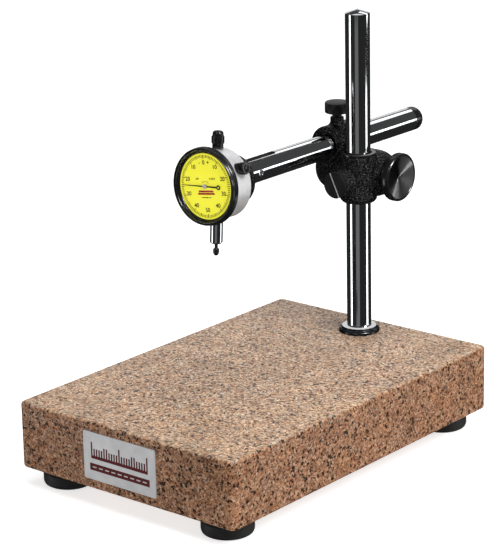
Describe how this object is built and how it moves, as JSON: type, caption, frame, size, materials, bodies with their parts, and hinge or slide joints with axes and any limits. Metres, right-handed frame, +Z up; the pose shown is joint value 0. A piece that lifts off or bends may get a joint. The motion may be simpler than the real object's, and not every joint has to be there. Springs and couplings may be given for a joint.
{
  "type": "dial comparator stand with dial indicator",
  "caption": "Granite-base dial comparator: a column with a swivel clamp and a sliding arm holds a dial indicator over a flat granite plate on rubber feet.",
  "frame": {"origin": "centre of the top face of the granite plate", "axes": "+Z up, square to the granite top; +Y runs from the front (label and dial side) to the back (column side); +X to the right seen from the front"},
  "size_m": [0.2032, 0.3916, 0.3199],
  "materials": {
    "granite": "speckled pink-brown granite, honed",
    "rubber_foot": "black moulded rubber",
    "label_metal": "brushed metal label",
    "chrome_rod": "ground and chromed steel",
    "black_casting": "black wrinkle paint",
    "black_metal": "black gloss",
    "satin_case": "satin nickel",
    "steel": "turned steel",
    "crystal": "clear crystal",
    "yellow_dial": "printed yellow dial",
    "movement_brass": "brass"
  },
  "bodies": {
    "base": {"granite_plate": "granite", "foot_front_left": "rubber_foot", "foot_back_left": "rubber_foot", "foot_front_right": "rubber_foot", "foot_back_right": "rubber_foot", "foot_screw_front_left": "steel", "foot_screw_back_left": "steel", "foot_screw_front_right": "steel", "foot_screw_back_right": "steel", "label_plate": "label_metal", "column_insert": "black_metal", "column": "chrome_rod"},
    "column_liner": {"column_liner": "black_casting"},
    "column_clamp": {"column_clamp": "black_casting", "clamp_bolt": "steel", "clamp_washer": "steel"},
    "clamp_knob": {"clamp_knob": "black_metal"},
    "friction_screw": {"friction_screw": "black_metal"},
    "arm_clamp": {"arm_clamp": "black_casting"},
    "arm_lock_knob": {"arm_lock_knob": "black_metal"},
    "arm_liner": {"arm_liner": "black_casting"},
    "arm": {"arm": "chrome_rod", "arm_end_cap": "black_metal"},
    "lug_screw": {"lug_screw": "steel"},
    "indicator": {"indicator_case": "satin_case", "back_cover": "black_casting", "cover_screw_1": "steel", "cover_screw_2": "steel", "cover_screw_3": "steel", "cover_screw_4": "steel", "stem": "steel", "top_bushing": "steel", "dust_cap": "black_metal", "bezel_clamp_block": "black_metal", "guide_rail": "movement_brass", "return_spring": "steel", "spring_post": "steel", "front_plate": "movement_brass", "rear_plate": "movement_brass", "pillar_1": "movement_brass", "pillar_2": "movement_brass", "pillar_3": "movement_brass"},
    "bezel": {"bezel": "black_metal", "crystal": "crystal", "dial_ring": "black_metal", "dial_face": "yellow_dial"},
    "bezel_clamp_screw": {"bezel_clamp_screw": "black_metal"},
    "spindle": {"spindle": "steel", "contact_point": "black_metal", "guide_pin": "steel"},
    "rack_pinion": {"rack_pinion": "movement_brass"},
    "hand": {"centre_arbor": "movement_brass", "hand": "black_metal", "hand_hub": "satin_case"},
    "takeup_gear": {"takeup_gear": "movement_brass", "hairspring": "steel"}
  },
  "joints": [
    {"name": "clamp_slide", "type": "slide", "parent": "base", "child": "column_liner", "axis": [0, 0, 1], "range_m": [-0.088, 0.098]},
    {"name": "clamp_swivel", "type": "hinge", "parent": "column_liner", "child": "column_clamp", "pos_m": [0, 0.1242, 0.1247], "axis": [0, 0, 1], "continuous": true},
    {"name": "clamp_knob_turn", "type": "hinge", "parent": "column_clamp", "child": "clamp_knob", "pos_m": [0.027, 0.1394, 0.1251], "axis": [1, 0, 0], "range_deg": [0, 360]},
    {"name": "friction_screw_turn", "type": "hinge", "parent": "column_clamp", "child": "friction_screw", "pos_m": [-0.0045, 0.1, 0.1219], "axis": [0, 1, 0], "range_deg": [-90, 90]},
    {"name": "arm_tilt", "type": "hinge", "parent": "column_clamp", "child": "arm_clamp", "pos_m": [-0.0285, 0.1394, 0.1251], "axis": [1, 0, 0], "range_deg": [-60, 18]},
    {"name": "arm_lock_turn", "type": "hinge", "parent": "arm_clamp", "child": "arm_lock_knob", "pos_m": [-0.0285, 0.1349, 0.173], "axis": [0, 0, 1], "range_deg": [0, 360]},
    {"name": "arm_roll", "type": "hinge", "parent": "arm_clamp", "child": "arm_liner", "pos_m": [-0.0285, 0.1365, 0.145], "axis": [0, 1, 0], "continuous": true},
    {"name": "arm_slide", "type": "slide", "parent": "arm_liner", "child": "arm", "axis": [0, 1, 0], "range_m": [-0.072, 0.06]},
    {"name": "lug_screw_turn", "type": "hinge", "parent": "arm", "child": "lug_screw", "pos_m": [-0.0285, 0.0301, 0.145], "axis": [1, 0, 0], "range_deg": [0, 360]},
    {"name": "indicator_tilt", "type": "hinge", "parent": "arm", "child": "indicator", "pos_m": [-0.0285, 0.0301, 0.145], "axis": [1, 0, 0], "range_deg": [-5, 5]},
    {"name": "bezel_turn", "type": "hinge", "parent": "indicator", "child": "bezel", "pos_m": [-0.0285, -0.02262, 0.14472], "axis": [0, 0.9981, -0.061], "continuous": true},
    {"name": "bezel_clamp_turn", "type": "hinge", "parent": "indicator", "child": "bezel_clamp_screw", "pos_m": [-0.0285, -0.01061, 0.1542], "axis": [0.9781, 0.0127, 0.2075], "range_deg": [0, 360]},
    {"name": "spindle_slide", "type": "slide", "parent": "indicator", "child": "spindle", "axis": [0, 0.061, 0.9981], "range_m": [0, 0.00635], "stiffness_N_per_m": 60, "springref_m": -0.01, "deforming": ["return_spring"]},
    {"name": "rack_pinion_turn", "type": "hinge", "parent": "indicator", "child": "rack_pinion", "pos_m": [-0.03395, -0.01044, 0.13746], "axis": [0, 0.9981, -0.061], "range_deg": [-125, 2]},
    {"name": "hand_turn", "type": "hinge", "parent": "indicator", "child": "hand", "pos_m": [-0.0285, -0.02262, 0.14472], "axis": [0, 0.9981, -0.061], "range_deg": [-5, 905]},
    {"name": "takeup_turn", "type": "hinge", "parent": "indicator", "child": "takeup_gear", "pos_m": [-0.0234, -0.00973, 0.14904], "axis": [0, 0.9981, -0.061], "range_deg": [-153, 2]}
  ],
  "couplings": [
    {"joint": "rack_pinion_turn", "follows": "spindle_slide", "rad_per_m": -337.32},
    {"joint": "hand_turn", "follows": "spindle_slide", "rad_per_m": 2473.7},
    {"joint": "takeup_turn", "follows": "spindle_slide", "rad_per_m": -412.3}
  ]
}
